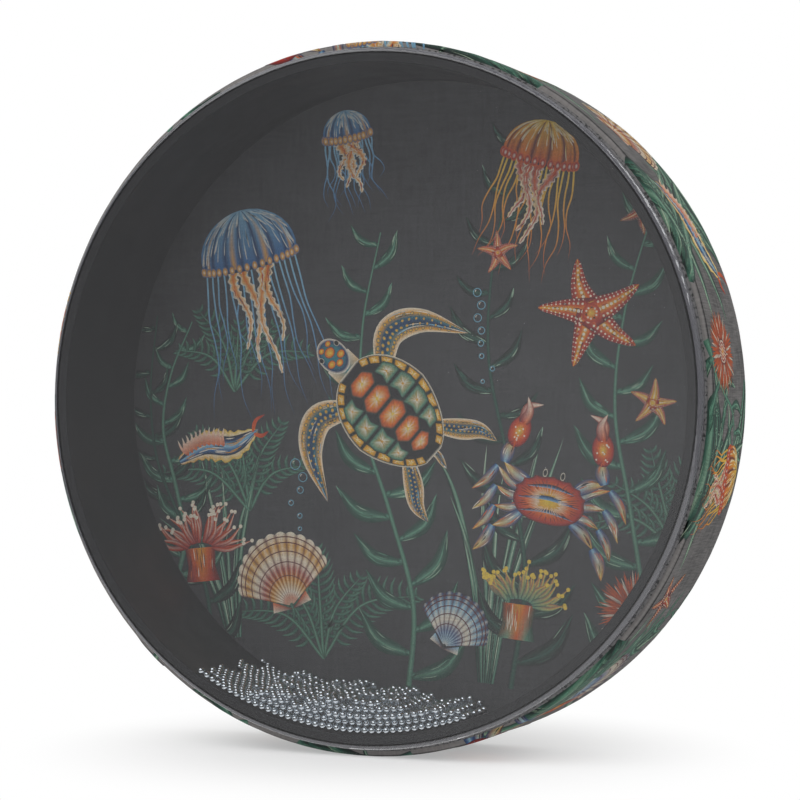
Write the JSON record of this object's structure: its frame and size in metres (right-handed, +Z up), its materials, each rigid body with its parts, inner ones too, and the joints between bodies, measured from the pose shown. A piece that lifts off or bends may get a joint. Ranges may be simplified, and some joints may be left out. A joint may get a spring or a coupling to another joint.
{
  "type": "ocean drum",
  "caption": "Shallow two-headed frame drum with a clear head, a printed head and loose steel beads that roll round inside for a surf-like sound.",
  "frame": {"origin": "on the surface the drum stands on, below the middle of the drum", "axes": "+Z up, -Y towards the clear front head, +Y towards the printed rear head along the drum's axis, +X to the right seen from the front"},
  "size_m": [0.31, 0.0658, 0.3101],
  "materials": {
    "shell": "satin",
    "clear_film": "gloss",
    "printed_film": "matte",
    "hoop": "matte",
    "cover_cloth": "matte",
    "adhesive": "satin",
    "steel_bead": "polished"
  },
  "bodies": {
    "drum": {"shell": "shell", "front_head": "clear_film", "rear_head": "printed_film", "front_hoop": "hoop", "rear_hoop": "hoop", "cloth_cover": "cover_cloth", "front_glue_line": "adhesive", "rear_glue_line": "adhesive"},
    "bead_pile": {"beads_01": "steel_bead", "beads_02": "steel_bead", "beads_03": "steel_bead", "beads_04": "steel_bead", "beads_05": "steel_bead", "beads_06": "steel_bead", "beads_07": "steel_bead", "beads_08": "steel_bead", "beads_09": "steel_bead", "beads_10": "steel_bead", "beads_11": "steel_bead"}
  },
  "joints": [
    {"name": "bead_drift", "type": "hinge", "parent": "drum", "child": "bead_pile", "pos_m": [0, 0, 0.15505], "axis": [0, 1, 0], "continuous": true}
  ]
}
